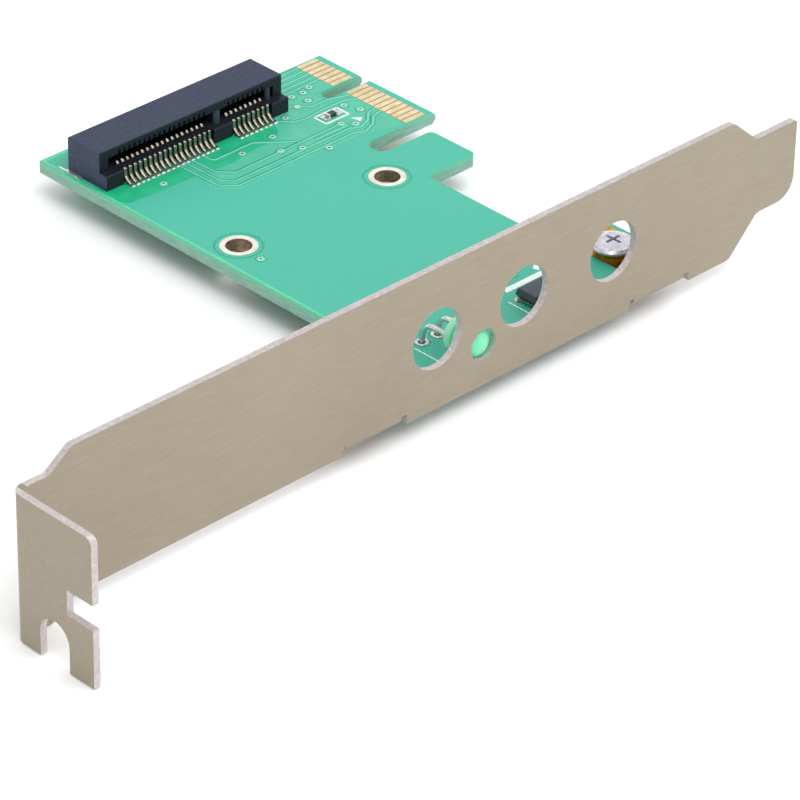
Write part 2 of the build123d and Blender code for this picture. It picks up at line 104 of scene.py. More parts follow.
def nickel_plated_steel():
    """Nickel plate on rolled steel: a dull, warm face, and blanked edges that are torn, paler and rougher."""
    # Rolling marks and tearing are finer than a pixel in the real sheet, so both are drawn coarser
    material, tree, shader, place = new_material("nickel_plated_steel", Metallic=0.85)
    cloud = add(tree, "ShaderNodeTexNoise", {"Vector": place, "Scale": 0.06, "Detail": 3.0})
    stretch = add(tree, "ShaderNodeMapping", {"Vector": place, "Scale": (0.35, 1.0, 3.0)})
    rolled = add(tree, "ShaderNodeTexNoise", {"Vector": stretch.outputs[0], "Scale": 1.4, "Detail": 4.0})
    torn = add(tree, "ShaderNodeTexNoise", {"Vector": place, "Scale": 2.2, "Detail": 3.0, "Roughness": 0.6})
    face = add(tree, "ShaderNodeMix", {0: cloud.outputs["Fac"], 6: linear("#9A9080"), 7: linear("#A59B8A")},
               data_type="RGBA")
    streak = add(tree, "ShaderNodeMapRange", {0: rolled.outputs["Fac"], 1: 0.3, 2: 0.7, 3: 0.0, 4: 0.16})
    face = add(tree, "ShaderNodeMix", {0: streak.outputs[0], 6: face.outputs[2], 7: linear("#C2B9A9")},
               data_type="RGBA")
    cut = add(tree, "ShaderNodeMapRange", {0: torn.outputs["Fac"], 1: 0.25, 2: 0.75})
    cut = add(tree, "ShaderNodeMix", {0: cut.outputs[0], 6: linear("#BEB5B3"), 7: linear("#DCD5D6")},
              data_type="RGBA")
    spot = add(tree, "ShaderNodeSeparateXYZ", {0: place})
    facing = add(tree, "ShaderNodeSeparateXYZ", {0: add(tree, "ShaderNodeNewGeometry").outputs["Normal"]})
    side_y = add(tree, "ShaderNodeMath", {0: facing.outputs[1]}, operation="ABSOLUTE")
    side_y = add(tree, "ShaderNodeMath", {0: side_y.outputs[0], 1: 0.5}, operation="LESS_THAN")
    side_x = add(tree, "ShaderNodeMath", {0: facing.outputs[0]}, operation="ABSOLUTE")
    side_x = add(tree, "ShaderNodeMath", {0: side_x.outputs[0], 1: 0.5}, operation="LESS_THAN")
    on_face = add(tree, "ShaderNodeMath", {0: spot.outputs[1], 1: 0.875 + SHIFT.y}, operation="LESS_THAN")
    past_bend = add(tree, "ShaderNodeMath", {0: spot.outputs[0], 1: 1.62 + SHIFT.x}, operation="GREATER_THAN")
    on_flange = add(tree, "ShaderNodeMath", {0: spot.outputs[0], 1: 0.875 + SHIFT.x}, operation="LESS_THAN")
    face_cut = add(tree, "ShaderNodeMath", {0: side_y.outputs[0], 1: on_face.outputs[0]},
                   operation="MULTIPLY")
    face_cut = add(tree, "ShaderNodeMath", {0: face_cut.outputs[0], 1: past_bend.outputs[0]},
                   operation="MULTIPLY")
    flange_cut = add(tree, "ShaderNodeMath", {0: side_x.outputs[0], 1: on_flange.outputs[0]},
                     operation="MULTIPLY")
    edge = add(tree, "ShaderNodeMath", {0: face_cut.outputs[0], 1: flange_cut.outputs[0]},
               operation="MAXIMUM")
    tone = add(tree, "ShaderNodeMix", {0: edge.outputs[0], 6: face.outputs[2], 7: cut.outputs[2]},
               data_type="RGBA")
    gloss = add(tree, "ShaderNodeMapRange", {0: edge.outputs[0], 3: 0.5, 4: 0.68})
    depth = add(tree, "ShaderNodeMath", {0: torn.outputs["Fac"], 1: edge.outputs[0]}, operation="MULTIPLY")
    depth = add(tree, "ShaderNodeMath", {0: rolled.outputs["Fac"], 1: 0.25, 2: depth.outputs[0]},
                operation="MULTIPLY_ADD")
    bump = add(tree, "ShaderNodeBump", {"Height": depth.outputs[0], "Strength": 0.35, "Distance": 0.00003})
    tree.links.new(tone.outputs[2], shader.inputs["Base Color"])
    tree.links.new(gloss.outputs[0], shader.inputs["Roughness"])
    tree.links.new(bump.outputs[0], shader.inputs["Normal"])
    return material


def solder_mask_over_hatch():
    """Green solder mask over FR4: copper hatched 0.27 mm apart shows as dots, routed edges show fibres."""
    material, tree, shader, place = new_material("solder_mask_over_hatch", Roughness=0.42)
    shader.inputs["Specular IOR Level"].default_value = 0.35
    spot = add(tree, "ShaderNodeSeparateXYZ", {0: place})
    facing = add(tree, "ShaderNodeSeparateXYZ", {0: add(tree, "ShaderNodeNewGeometry").outputs["Normal"]})
    cloud = add(tree, "ShaderNodeTexNoise", {"Vector": place, "Scale": 0.05, "Detail": 3.0})
    ground = add(tree, "ShaderNodeMix", {0: cloud.outputs["Fac"], 6: linear("#35AC94"), 7: linear("#3FB39C")},
                 data_type="RGBA")
    waves = []
    for across, along in ((3.5, -1.1), (-1.25, 3.55)):
        turned = add(tree, "ShaderNodeVectorMath", {0: place, 1: (across, along, 0.0)},
                     operation="DOT_PRODUCT")
        phase = add(tree, "ShaderNodeMath", {0: turned.outputs["Value"], 1: 2 * math.pi},
                    operation="MULTIPLY")
        waves.append(add(tree, "ShaderNodeMath", {0: phase.outputs[0]}, operation="COSINE").outputs[0])
    both = add(tree, "ShaderNodeMath", {0: waves[0], 1: waves[1]}, operation="ADD")
    dots = add(tree, "ShaderNodeMapRange", {0: both.outputs[0], 1: 0.2, 2: 1.5, 3: 0.0, 4: 0.9})
    peaks = add(tree, "ShaderNodeMapRange", {0: both.outputs[0], 1: -0.2, 2: -1.5, 3: 0.0, 4: 0.75})
    tone = add(tree, "ShaderNodeMix", {0: dots.outputs[0], 6: ground.outputs[2], 7: linear("#2A9C7F")},
               data_type="RGBA")
    tone = add(tree, "ShaderNodeMix", {0: peaks.outputs[0], 6: tone.outputs[2], 7: linear("#68CEB8")},
               data_type="RGBA")
    # Painted shade: the underside is darker, so that it bounces less green onto the floor
    under = add(tree, "ShaderNodeMath", {0: facing.outputs[2], 1: -0.5}, operation="LESS_THAN")
    tone = add(tree, "ShaderNodeMix", {0: under.outputs[0], 6: tone.outputs[2], 7: linear("#22846A")},
               data_type="RGBA")
    layers = add(tree, "ShaderNodeMapping", {"Vector": place, "Scale": (0.5, 0.5, 4.0)})
    fibre = add(tree, "ShaderNodeTexNoise", {"Vector": layers.outputs[0], "Scale": 1.0, "Detail": 3.0})
    soft = add(tree, "ShaderNodeMapRange", {0: fibre.outputs["Fac"], 1: 0.3, 2: 0.7})
    core = add(tree, "ShaderNodeMix", {0: soft.outputs[0], 6: linear("#6FA390"), 7: linear("#8BB8A8")},
               data_type="RGBA")
    near_mask = add(tree, "ShaderNodeMapRange", {0: spot.outputs[2], 1: 4.05, 2: 4.75, 3: 0.0, 4: 0.9})
    core = add(tree, "ShaderNodeMix", {0: near_mask.outputs[0], 6: core.outputs[2], 7: linear("#62C898")},
               data_type="RGBA")
    upright = add(tree, "ShaderNodeMath", {0: facing.outputs[2]}, operation="ABSOLUTE")
    edge = add(tree, "ShaderNodeMath", {0: upright.outputs[0], 1: 0.5}, operation="LESS_THAN")
    tone = add(tree, "ShaderNodeMix", {0: edge.outputs[0], 6: tone.outputs[2], 7: core.outputs[2]},
               data_type="RGBA")
    bump = add(tree, "ShaderNodeBump", {"Height": both.outputs[0], "Strength": 0.3, "Distance": -0.000004})
    tree.links.new(tone.outputs[2], shader.inputs["Base Color"])
    tree.links.new(bump.outputs[0], shader.inputs["Normal"])
    return material


def moulded_socket_nylon():
    """Moulded glass filled nylon: eroded and bluish, with painted light and shade: a lighter tone on the top
    and left end, a darker one on the front, inside and remaining faces.
    """
    # The eroded grain is too fine to show, so it is drawn 0.3 mm across
    material, tree, shader, place = new_material("moulded_socket_nylon", Roughness=0.5)
    shader.inputs["Specular IOR Level"].default_value = 0.3
    cloud = add(tree, "ShaderNodeTexNoise", {"Vector": place, "Scale": 1.8, "Detail": 5.0})
    # A painted lit tone and a painted shaded tone of the same bluish nylon
    painted_lit_tone = add(tree, "ShaderNodeMix", {0: cloud.outputs["Fac"], 6: linear("#1B2338"), 7: linear("#39445E")},
                data_type="RGBA")
    painted_shade_tone = add(tree, "ShaderNodeMix", {0: cloud.outputs["Fac"], 6: linear("#10131B"), 7: linear("#1A1F2B")},
                data_type="RGBA")
    facing = add(tree, "ShaderNodeSeparateXYZ", {0: add(tree, "ShaderNodeNewGeometry").outputs["Normal"]})
    # Painted light and shade: only the top and the left end, where not turned to the front, take the lit
    # tone; the front, inside and remaining faces take the shaded tone
    front = add(tree, "ShaderNodeMapRange", {0: facing.outputs[1], 1: -0.3, 2: -0.8, 3: 1.0, 4: 0.0})
    spot = add(tree, "ShaderNodeSeparateXYZ", {0: place})
    left_end = add(tree, "ShaderNodeMapRange", {0: spot.outputs[0], 1: 63.2 + SHIFT.x, 2: 63.15 + SHIFT.x})
    top = add(tree, "ShaderNodeMapRange", {0: spot.outputs[2], 1: 6.9 + SHIFT.z, 2: 7.0 + SHIFT.z})
    painted_lit_faces = add(tree, "ShaderNodeMath", {0: left_end.outputs[0], 1: top.outputs[0]}, operation="MAXIMUM")
    painted_lit_faces = add(tree, "ShaderNodeMath", {0: painted_lit_faces.outputs[0], 1: front.outputs[0]}, operation="MULTIPLY")
    tone = add(tree, "ShaderNodeMix", {0: painted_lit_faces.outputs[0], 6: painted_shade_tone.outputs[2], 7: painted_lit_tone.outputs[2]},
               data_type="RGBA")
    grain = add(tree, "ShaderNodeTexNoise", {"Vector": place, "Scale": 3.0, "Detail": 4.0})
    bump = add(tree, "ShaderNodeBump", {"Height": grain.outputs["Fac"], "Strength": 0.6, "Distance": 0.00006})
    tree.links.new(tone.outputs[2], shader.inputs["Base Color"])
    tree.links.new(bump.outputs[0], shader.inputs["Normal"])
    return material


def tinted_lens_epoxy():
    """Cast mint epoxy: glossy and a little clear, with a painted glow from emission that makes it seem lit,
    and whiter towards the rim at the back.
    """
    material, tree, shader, place = new_material("tinted_lens_epoxy", Roughness=0.18)
    shader.inputs["Transmission Weight"].default_value = 0.25
    # Painted glow: the emission makes the lens seem lit
    shader.inputs["Emission Strength"].default_value = 0.12
    depth = add(tree, "ShaderNodeSeparateXYZ", {0: place})
    # Whiter towards the rim at the back of the lens
    toward_back_rim = add(tree, "ShaderNodeMapRange", {0: depth.outputs[1], 1: SHIFT.y + 2.8, 2: SHIFT.y + 4.4})
    cloud = add(tree, "ShaderNodeTexNoise", {"Vector": place, "Scale": 0.8, "Detail": 2.0})
    mint = add(tree, "ShaderNodeMix", {0: cloud.outputs["Fac"], 6: linear("#6FDBA9"), 7: linear("#86E6BC")},
               data_type="RGBA")
    tone = add(tree, "ShaderNodeMix", {0: toward_back_rim.outputs[0], 6: mint.outputs[2], 7: linear("#B9F5D9")},
               data_type="RGBA")
    bump = add(tree, "ShaderNodeBump", {"Height": cloud.outputs["Fac"], "Strength": 0.2, "Distance": 0.00002})
    tree.links.new(tone.outputs[2], shader.inputs["Base Color"])
    tree.links.new(tone.outputs[2], shader.inputs["Emission Color"])
    tree.links.new(bump.outputs[0], shader.inputs["Normal"])
    return material


nickel = nickel_plated_steel()
mask_hatched = solder_mask_over_hatch()
socket_nylon = moulded_socket_nylon()
lens_epoxy = tinted_lens_epoxy()
# Screened solder mask: a strong green straight on the laminate, paler on copper, darker beside tracks
mask_bare = mottled("solder_mask_on_laminate", "#0DA877", "#17B484", 1.6, (0.34, 0.46), 0.004)
mask_clear = mottled("solder_mask_on_copper", "#40B090", "#4ABA9B", 2.2, (0.34, 0.46), 0.004)
mask_track = mottled("solder_mask_on_track", "#55C9AA", "#66D3B7", 1.8, (0.3, 0.42), 0.004)
mask_gap = mottled("solder_mask_in_gap", "#2E9F80", "#38A889", 1.8, (0.4, 0.5), 0.004)
mask_rim = mottled("solder_mask_at_rim", "#48C28D", "#5BCE9C", 2.0, (0.36, 0.5), 0.004)
# FR4 left bare between the fingers: dull and brownish
bare_laminate = mottled("bare_laminate", "#A8864F", "#BD9E66", 0.9, (0.5, 0.62), 0.006)
# Plated gold is pale on the fingers and deep yellow under the screw, and the collar under the head is darker
# still
finger_gold = mottled("thin_hard_gold", "#D8C79C", "#EFE3C4", 1.3, (0.34, 0.46), 0.004, Metallic=0.6)
land_gold = mottled("gold_plated_land", "#B07A1E", "#E0B24C", 1.4, (0.22, 0.34), 0.004, Metallic=1.0)
collar_brass = mottled("turned_brass", "#8A5A14", "#B98428", 1.1, (0.2, 0.3), 0.004, Metallic=1.0)
# Tin is cream where levelled, dark in the drilled barrel, bright on bronze and leads, shiny where melted
ring_tin = mottled("levelled_tin", "#DAD3C4", "#F5F0E6", 1.2, (0.4, 0.55), 0.006, Metallic=0.4)
barrel_copper = mottled("tinned_copper_barrel", "#75624C", "#B19B80", 0.5, (0.35, 0.5), 0.02, Metallic=0.5)
contact_tin = mottled("tinned_bronze", "#8F8678", "#B3ABA0", 0.9, (0.2, 0.32), 0.004, Metallic=1.0)
lead_tin = mottled("tinned_lead_wire", "#C3C7C5", "#F1F4F2", 0.9, (0.16, 0.26), 0.004, Metallic=0.75)
solder = mottled("reflowed_solder", "#B9BBBD", "#EFF0F1", 0.7, (0.18, 0.3), 0.02, Metallic=0.8)
# Bright zinc plate on the screw heads is bluish and mottled
head_zinc = mottled("bright_zinc_plate", "#C5C2CF", "#E9E6EF", 0.8, (0.2, 0.36), 0.01, Metallic=0.75)
# Moulded epoxy is satin and blue-black, glazed ceramic glossy and black, fired ceramic matt and brown
case_epoxy = mottled("moulded_case_epoxy", "#333947", "#3F4555", 0.8, (0.34, 0.44), 0.01)
ceramic_black = mottled("glazed_black_ceramic", "#1A1C20", "#2A2C31", 0.4, (0.26, 0.36), 0.006)
ceramic_brown = mottled("fired_brown_ceramic", "#7F6448", "#9C7F5E", 0.4, (0.36, 0.48), 0.006)
# Screened white ink is matt, and an almost black disc in each via is painted shade for the inside of its hole
white_ink = mottled("screened_white_ink", "#DDEDE6", "#FAFFFC", 0.6, (0.45, 0.6), 0.006)
painted_via_shade = mottled("painted_via_shade_material", "#04110D", "#0B1D17", 0.3, (0.6, 0.8), 0.01)
white_paper = mottled("white_paper", "#FBFBFB", "#FFFFFF", 300.0, (0.85, 0.95), 0.0)

carried_over = {
    "slot_bracket": nickel, "circuit_board": mask_hatched, "edge_fingers_top": finger_gold,
    "edge_fingers_bottom": finger_gold, "card_hole_platings": ring_tin, "socket_hold_down_right": contact_tin,
    "lamp_solder_joints": solder, "signal_resistor_body": ceramic_black, "signal_resistor_caps": solder,
    "lamp_resistor_body": ceramic_black, "lamp_resistor_caps": solder,
    "supply_capacitor_bodies": ceramic_brown,
    "supply_capacitor_caps": solder, "regulator_body": case_epoxy, "regulator_leads": lead_tin,
    "regulator_tab": lead_tin,
}
for node, material in carried_over.items():
    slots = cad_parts[node].data.materials
    if not slots:
        slots.append(material)
    for i in range(len(slots)):
        slots[i] = material


def place_piece(name, mesh, material, slot, *nodes):
    """A finished mesh as a piece of the object, riding on its one body."""
    piece = bpy.data.objects.new(name, mesh)
    bpy.context.scene.collection.objects.link(piece)
    if not mesh.materials:
        mesh.materials.append(material)
    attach(piece, "root")
    if nodes:
        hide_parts(*nodes)
    return piece


def mesh_from(work, name):
    """A bmesh with its normals put right, as a mesh."""
    bmesh.ops.recalc_face_normals(work, faces=work.faces)
    mesh = bpy.data.meshes.new(name)
    work.to_mesh(mesh)
    work.free()
    return mesh


def slabs(outlines, z0, z1):
    """Flat outlines in the card's millimetres, each given a height, as one bmesh."""
    work = bmesh.new()
    for outline in outlines:
        low = [work.verts.new(metres(x, y, z0)) for x, y in outline]
        high = [work.verts.new(metres(x, y, z1)) for x, y in outline]
        work.faces.new(high)
        work.faces.new(list(reversed(low)))
        for i in range(len(outline)):
            j = (i + 1) % len(outline)
            work.faces.new((low[i], low[j], high[j], high[i]))
    return work


def block(work, x0, x1, y0, y1, z0, z1):
    """Adds a block between two corners to a bmesh and returns its points."""
    made = bmesh.ops.create_cube(work, size=1.0)["verts"]
    middle = metres((x0 + x1) / 2, (y0 + y1) / 2, (z0 + z1) / 2)
    size = Matrix.Diagonal(((x1 - x0) / 1000, (y1 - y0) / 1000, (z1 - z0) / 1000, 1.0))
    bmesh.ops.transform(work, matrix=Matrix.Translation(middle) @ size, verts=made)
    return made


def turned(work, profile, centre, axis, count=48):
    """Adds a turned shape: its profile gives a radius and a distance along the axis from the centre."""
    rings = []
    for radius, along in profile:
        ring = []
        for i in range(count if radius > 1e-6 else 1):
            turn = 2 * math.pi * i / count
            a = radius * math.cos(turn)
            b = radius * math.sin(turn)
            offset = (a, along, b) if axis == "Y" else (a, b, along)
            ring.append(work.verts.new(metres(*[c + o for c, o in zip(centre, offset)])))
        rings.append(ring)
    for low, high in zip(rings, rings[1:]):
        for i in range(count):
            j = (i + 1) % count
            corners = [low[i % len(low)], low[j % len(low)], high[j % len(high)], high[i % len(high)]]
            unique = list(dict.fromkeys(corners))
            if len(unique) > 2:
                work.faces.new(unique)


def new_tree(name, sizes):
    """A Geometry Nodes tree with a geometry input and one named input for each size."""
    tree = bpy.data.node_groups.new(name, "GeometryNodeTree")
    tree.interface.new_socket("Geometry", in_out="INPUT", socket_type="NodeSocketGeometry")
    for label, value in sizes.items():
        kind = "NodeSocketInt" if isinstance(value, int) else "NodeSocketFloat"
        tree.interface.new_socket(label, in_out="INPUT", socket_type=kind)
    tree.interface.new_socket("Geometry", in_out="OUTPUT", socket_type="NodeSocketGeometry")
    return tree, add(tree, "NodeGroupInput").outputs


def grow(name, seed, tree, result, sizes, material):
    """Ends a tree in Realize Instances and Set Material and runs it on a seed mesh, as a plain mesh."""
    real = add(tree, "GeometryNodeRealizeInstances", {0: result})
    dressed = add(tree, "GeometryNodeSetMaterial", {"Geometry": real.outputs[0], "Material": material})
    add(tree, "NodeGroupOutput", {0: dressed.outputs[0]})
    host = bpy.data.objects.new(name + "_seed", seed)
    bpy.context.scene.collection.objects.link(host)
    modifier = host.modifiers.new("grow", "NODES")
    modifier.node_group = tree
    for item in tree.interface.items_tree:
        if item.in_out == "INPUT" and item.name in sizes:
            modifier[item.identifier] = sizes[item.name]
    evaluated = host.evaluated_get(bpy.context.evaluated_depsgraph_get())
    mesh = bpy.data.meshes.new_from_object(evaluated)
    bpy.data.objects.remove(host)
    work = bmesh.new()
    work.from_mesh(mesh)
    bmesh.ops.recalc_face_normals(work, faces=work.faces)
    work.to_mesh(mesh)
    work.free()
    return mesh


def swept_strip(name, lines, sizes):
    """Strips that follow lines: a rectangle of Width and Height, with corners of Bend radius."""
    tree, inputs = new_tree(name, sizes)
    path = add(tree, "GeometryNodeMeshToCurve", {"Mesh": inputs["Geometry"]})
    bend = add(tree, "GeometryNodeFilletCurve",
               {"Curve": path.outputs[0], "Radius": inputs["Bend radius"], "Limit Radius": True, "Count": 4},
               mode="POLY")
    profile = add(tree, "GeometryNodeCurvePrimitiveQuadrilateral",
                  {"Width": inputs["Width"], "Height": inputs["Height"]})
    solid = add(tree, "GeometryNodeCurveToMesh",
                {"Curve": bend.outputs[0], "Profile Curve": profile.outputs[0], "Fill Caps": True})
    points = []
    edges = []
    for line in lines:
        first = len(points)
        points += [metres(*point) for point in line]
        edges += [(first + i, first + i + 1) for i in range(len(line) - 1)]
    seed = bpy.data.meshes.new(name)
    seed.from_pydata(points, edges, [])
    return tree, inputs, solid.outputs[0], seed


def strips(name, lines, width, height, material, slot, *nodes, bend=0.3):
    """Swept strips as one piece, sizes in millimetres."""
    sizes = {"Width": width / 1000, "Height": height / 1000, "Bend radius": bend / 1000}
    tree, inputs, solid, seed = swept_strip(name, lines, sizes)
    return place_piece(name, grow(name, seed, tree, solid, sizes, material), material, slot, *nodes)


def flat_rings(name, spots, z, radius, width, height, material, slot):
    """The same flat ring at every spot, sizes in millimetres."""
    sizes = {"Ring radius": radius / 1000, "Ring width": width / 1000, "Ring height": height / 1000}
    tree, inputs = new_tree(name, sizes)
    circle = add(tree, "GeometryNodeCurvePrimitiveCircle",
                 {"Resolution": 20, "Radius": inputs["Ring radius"]})
    profile = add(tree, "GeometryNodeCurvePrimitiveQuadrilateral",
                  {"Width": inputs["Ring width"], "Height": inputs["Ring height"]})
    ring = add(tree, "GeometryNodeCurveToMesh",
               {"Curve": circle.outputs[0], "Profile Curve": profile.outputs[0]})
    points = add(tree, "GeometryNodeMeshToPoints", {"Mesh": inputs["Geometry"]})
    copies = add(tree, "GeometryNodeInstanceOnPoints",
                 {"Points": points.outputs[0], "Instance": ring.outputs[0]})
    seed = bpy.data.meshes.new(name)
    seed.from_pydata([metres(x, y, z) for x, y in spots], [], [])
    return place_piece(name, grow(name, seed, tree, copies.outputs[0], sizes, material), material, slot)


def ring_outline(x, y, radius, count=16):
    """A round outline."""
    turns = [2 * math.pi * i / count for i in range(count)]
    return [(x + radius * math.cos(a), y + radius * math.sin(a)) for a in turns]


# Places without hatched copper under the mask
place_piece("bare_patches", mesh_from(slabs([
    [(62.65, 60.2), (62.65, 55.6), (63.4, 54.5), (71.0, 54.2), (74.2, 54.0), (74.2, 60.2)],
    [(75.9, 59.0), (76.4, 53.7), (79.2, 53.5), (83.0, 54.2), (86.4, 54.1), (88.4, 55.6), (89.4, 57.6),
     (89.4, 59.0)],
], TOP - 0.02, TOP + 0.006), "bare_patches"), mask_bare, "board_green")
place_piece("clear_patch", mesh_from(slabs([
    [(73.2, 58.6), (73.2, 50.2), (75.2, 48.2), (94.9, 48.2), (98.6, 46.9), (101.1, 46.9), (101.1, 56.9),
     (97.9, 56.9),
     (97.9, 59.7), (101.1, 59.7), (101.1, 66.0), (96.0, 66.0), (93.1, 68.6), (92.9, 58.6)],
], TOP - 0.02, TOP + 0.003), "clear_patch"), mask_clear, "board_green")
place_piece("mask_rims", mesh_from(slabs([
    [(62.22, 14.4), (62.62, 14.4), (62.62, 69.0), (62.22, 69.48)],
    [(62.62, 69.0), (92.95, 69.0), (93.15, 69.48), (62.22, 69.48)],
], TOP - 0.02, TOP + 0.004), "mask_rims"), mask_rim, "board_green")
place_piece("finger_field", mesh_from(slabs([
    [(101.25, 46.5), (104.7, 46.5), (104.7, 57.0), (101.25, 57.0)],
    [(101.25, 59.6), (104.7, 59.6), (104.7, 66.1), (101.25, 66.1)],
], TOP - 0.02, TOP + 0.006), "finger_field"), bare_laminate, "board_green")

# Tracks: masked copper stands a little proud, with a darker gap on each side
track_lines = [
    [(73.7, 57.6), (73.9, 50.7), (75.7, 48.9), (94.8, 49.0), (96.2, 48.3), (98.2, 49.1), (99.6, 50.5),
     (101.2, 50.8)],
    [(74.7, 57.6), (74.9, 51.4), (76.2, 50.0), (95.2, 50.2), (96.6, 49.5), (98.4, 50.2), (99.8, 51.6),
     (101.2, 51.8)],
    [(75.7, 57.6), (75.9, 53.4), (77.6, 51.5), (92.4, 51.7), (94.8, 51.8), (96.2, 50.8)],
    [(77.4, 57.6), (77.6, 55.5), (84.0, 55.6), (88.5, 51.95)],
    [(90.2, 50.9), (92.4, 50.9), (95.9, 50.9)],
    [(89.9, 57.6), (91.4, 55.9), (93.0, 55.6), (96.5, 55.9), (99.9, 55.8), (101.2, 54.9)],
    [(93.6, 59.1), (95.8, 57.3), (98.4, 57.3), (101.2, 56.4)],
    [(93.4, 65.6), (101.3, 65.8)], [(93.4, 64.6), (101.3, 64.8)], [(93.4, 63.6), (101.3, 63.8)],
    [(93.4, 62.7), (101.3, 62.8)], [(93.4, 61.7), (97.0, 61.8), (101.3, 61.9)],
]
gap_lines = [[(x, y, TOP) for x, y in line] for line in track_lines]
strips("track_gaps", gap_lines, 0.66, 0.016, mask_gap, "board_green", bend=0.6)
copper_lines = [[(x, y, TOP + 0.01) for x, y in line] for line in track_lines]
strips("track_tops", copper_lines, 0.30, 0.044, mask_track, "board_green", bend=0.6)

vias = [
    (98.8, 61.2), (97.3, 60.7), (96.4, 58.8), (94.3, 58.5), (95.5, 60.8), (86.9, 55.0), (81.3, 54.4),
    (85.2, 51.7),
    (87.7, 50.5), (90.1, 48.3), (95.3, 51.7), (96.6, 50.5), (99.6, 52.8), (98.8, 54.9), (65.9, 34.4),
    (91.3, 57.4),
    (69.4, 55.35), (84.9, 12.0),
]
flat_rings("via_outlines", vias, TOP + 0.004, 0.62, 0.16, 0.02, mask_gap, "board_green")
flat_rings("via_collars", vias, TOP + 0.01, 0.40, 0.30, 0.05, mask_track, "board_green")
flat_rings("via_lips", vias, TOP + 0.02, 0.24, 0.12, 0.07, ring_tin, "gold_plate")
# A dark disc in each via is painted shade standing in for the inside of the hole
via_shade_outlines = [ring_outline(x, y, 0.2) for x, y in vias]
place_piece("via_holes", mesh_from(slabs(via_shade_outlines, TOP - 0.02, TOP + 0.03), "via_holes"), painted_via_shade,
            "board_green")

# White print: outlines and marks only, with no letters
print_lines = [
    [(93.95, 55.1), (97.75, 55.1), (97.75, 52.9), (93.95, 52.9), (93.95, 55.1)],
    [(62.9, 66.9), (62.95, 64.3), (63.5, 64.3)],
]
strips("print_lines", [[(x, y, TOP + 0.01) for x, y in line] for line in print_lines], 0.26, 0.03, white_ink,
       "board_green", bend=0.05)
fine_lines = [[(65.2, 8.0), (65.2, 3.9)], [(80.2, 8.0), (80.2, 4.0)]]
strips("print_fine_lines", [[(x, y, TOP + 0.01) for x, y in line] for line in fine_lines], 0.17, 0.03,
       white_ink,
       "board_green", bend=0.05)
place_piece("print_marks", mesh_from(slabs([
    [(97.2, 52.05), (98.35, 51.15), (97.45, 50.6), (97.5, 51.3)],
    [(81.5, 9.55), (88.2, 9.55), (88.2, 10.4), (81.9, 10.4)],
    [(87.9, 10.6), (88.6, 11.2), (88.4, 11.9), (87.7, 11.4)],
], TOP - 0.02, TOP + 0.015), "print_marks"), white_ink, "board_green")

# Dark gap round each plated hole, and its darker barrel
card_holes = [(66.1, 38.4), (90.3, 38.4)]
flat_rings("hole_gaps", card_holes, TOP + 0.004, 2.9, 0.3, 0.02, mask_gap, "board_green")
work = bmesh.new()
for x, y in card_holes:
    turned(work, [(1.60, LOW), (1.63, LOW), (1.63, TOP), (1.60, TOP), (1.60, LOW)], (x, y, 0), "Z", 64)
bmesh.ops.remove_doubles(work, verts=work.verts, dist=1e-7)
place_piece("card_hole_barrels", mesh_from(work, "card_hole_barrels"), barrel_copper, "gold_plate")

# Mini card socket: a stepped moulding, cut by the card slot, two leg recesses and the comb above the slot
middle, front, mouth, rear = 77.9, 58.4, 59.7, 65.4
half_length = 14.8
ledge = TOP + 1.98
slot_low = TOP + 2.05
slot_high = TOP + 3.55
roof = TOP + 4.65
first = middle - 11.6
key_x = first + 15.6
contact_pitch = 0.8
contact_numbers = list(range(18)) + list(range(22, 30))
work = bmesh.new()
profile = [(front, TOP), (front, TOP + 1.88), (front + 0.1, ledge), (mouth, ledge),
           (mouth, TOP + 4.55),
           (mouth + 0.1, roof), (rear - 0.1, roof), (rear, TOP + 4.55), (rear, TOP)]
ends = (middle - half_length, middle + half_length)
loops = [[work.verts.new(metres(x, y, z)) for y, z in profile] for x in ends]
for i in range(len(profile)):
    j = (i + 1) % len(profile)
    work.faces.new((loops[0][i], loops[0][j], loops[1][j], loops[1][i]))
work.faces.new(loops[0])
work.faces.new(list(reversed(loops[1])))
moulding = mesh_from(work, "socket_moulding")
work = bmesh.new()
block(work, middle - 13.4, key_x - 0.6, mouth - 0.8, mouth + 4.3, slot_low, slot_high)
block(work, key_x + 0.6, middle + 13.4, mouth - 0.8, mouth + 4.3, slot_low, slot_high)
block(work, first - 0.5, first + 14.1, front - 1, front + 0.42, TOP - 1, TOP + 2.5)
block(work, first + 17.1, first + 23.7, front - 1, front + 0.42, TOP - 1, TOP + 2.5)
pocket_object = bpy.data.objects.new("pockets", mesh_from(work, "pockets"))
bpy.context.scene.collection.objects.link(pocket_object)
sizes = {"Pitch": 0.0008, "Groove width": 0.00034, "Groove height": 0.00062, "Groove reach": 0.0009,
         "First group": 18, "Second group": 8}
tree, inputs = new_tree("socket_cuts", sizes)
groove_size = add(tree, "ShaderNodeCombineXYZ",
                  {0: inputs["Groove width"], 1: inputs["Groove reach"], 2: inputs["Groove height"]})
groove = add(tree, "GeometryNodeMeshCube", {"Size": groove_size.outputs[0]})
step = add(tree, "ShaderNodeCombineXYZ", {0: inputs["Pitch"]})
pocket_info = add(tree, "GeometryNodeObjectInfo", {"Object": pocket_object})
carved = add(tree, "GeometryNodeMeshBoolean", {"Mesh 1": inputs["Geometry"]}, operation="DIFFERENCE",
             solver="EXACT")
tree.links.new(pocket_info.outputs["Geometry"], carved.inputs["Mesh 2"])
